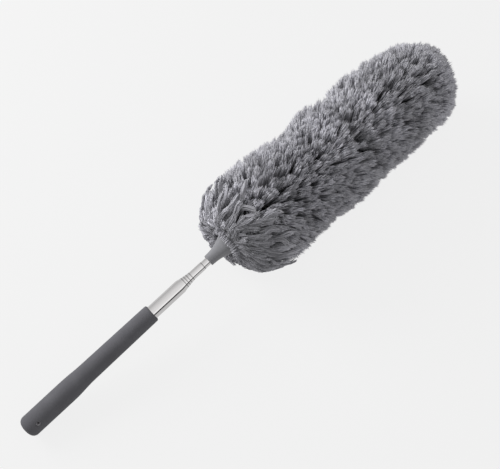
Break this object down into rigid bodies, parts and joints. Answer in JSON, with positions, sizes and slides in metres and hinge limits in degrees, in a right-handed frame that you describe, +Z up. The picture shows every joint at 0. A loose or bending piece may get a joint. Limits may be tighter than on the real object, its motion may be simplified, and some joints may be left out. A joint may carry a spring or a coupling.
{
  "type": "extendable duster",
  "caption": "Extendable duster with a rubber grip, a telescopic steel pole and a bendable head of grey microfibre pile.",
  "frame": {"origin": "on the table under the middle of the object's box, with the duster lying on its pile and on the butt of its grip", "axes": "+X along the head from the grip toward the tip, +Z up from the table"},
  "size_m": [0.7511, 0.1496, 0.1432],
  "materials": {
    "grip_rubber": "matte",
    "pole_steel": "polished",
    "spring_bronze": "satin",
    "collar_plastic": "satin",
    "inner_plastic": "matte",
    "soft_steel": "satin",
    "pile_microfibre": "matte"
  },
  "bodies": {
    "handle": {"grip_sleeve": "grip_rubber", "rear_plug": "inner_plastic", "tube_1": "pole_steel"},
    "stage_2": {"tube_2": "pole_steel", "friction_spring_2": "spring_bronze"},
    "stage_3": {"tube_3": "pole_steel", "friction_spring_3": "spring_bronze"},
    "stage_4": {"tube_4": "pole_steel", "friction_spring_4": "spring_bronze"},
    "stage_5": {"tube_5": "pole_steel", "friction_spring_5": "spring_bronze"},
    "stage_6_slider": {"friction_spring_6": "spring_bronze"},
    "stage_6": {"tube_6": "pole_steel", "tip_stud": "soft_steel", "head_collar": "collar_plastic", "core_tube_neck": "inner_plastic", "core_wire_neck": "soft_steel"},
    "head_root": {"core_tube_root": "inner_plastic", "core_wire_root": "soft_steel", "pile_root": "pile_microfibre"},
    "head_middle": {"core_tube_middle": "inner_plastic", "core_wire_middle": "soft_steel", "pile_middle": "pile_microfibre"},
    "head_tip": {"core_tube_tip": "inner_plastic", "core_wire_tip": "soft_steel", "core_end_cap": "inner_plastic", "pile_tip": "pile_microfibre"}
  },
  "joints": [
    {"name": "stage_2_slide", "type": "slide", "parent": "handle", "child": "stage_2", "axis": [0.9873, 0, 0.1587], "range_m": [0, 0.208]},
    {"name": "stage_3_slide", "type": "slide", "parent": "stage_2", "child": "stage_3", "axis": [0.9873, 0, 0.1587], "range_m": [0, 0.205]},
    {"name": "stage_4_slide", "type": "slide", "parent": "stage_3", "child": "stage_4", "axis": [0.9873, 0, 0.1587], "range_m": [0, 0.197]},
    {"name": "stage_5_slide", "type": "slide", "parent": "stage_4", "child": "stage_5", "axis": [0.9873, 0, 0.1587], "range_m": [-0.017, 0.172]},
    {"name": "stage_6_slide", "type": "slide", "parent": "stage_5", "child": "stage_6_slider", "axis": [0.9873, 0, 0.1587], "range_m": [-0.008, 0.172]},
    {"name": "head_turn", "type": "hinge", "parent": "stage_6_slider", "child": "stage_6", "pos_m": [-0.03221, 0.0005, 0.068], "axis": [0.9873, 0, 0.1587], "continuous": true},
    {"name": "neck_bend", "type": "hinge", "parent": "stage_6", "child": "head_root", "pos_m": [-0.03221, 0.0005, 0.068], "axis": [0, 0, 1], "range_deg": [-40, 40], "deforming": ["pile_root"]},
    {"name": "middle_bend", "type": "hinge", "parent": "head_root", "child": "head_middle", "pos_m": [0.09279, 0.0005, 0.068], "axis": [0, 0, 1], "range_deg": [-40, 40], "deforming": ["pile_middle"]},
    {"name": "tip_bend", "type": "hinge", "parent": "head_middle", "child": "head_tip", "pos_m": [0.21779, 0.0005, 0.068], "axis": [0, 0, 1], "range_deg": [-40, 40], "deforming": ["pile_tip"]}
  ]
}
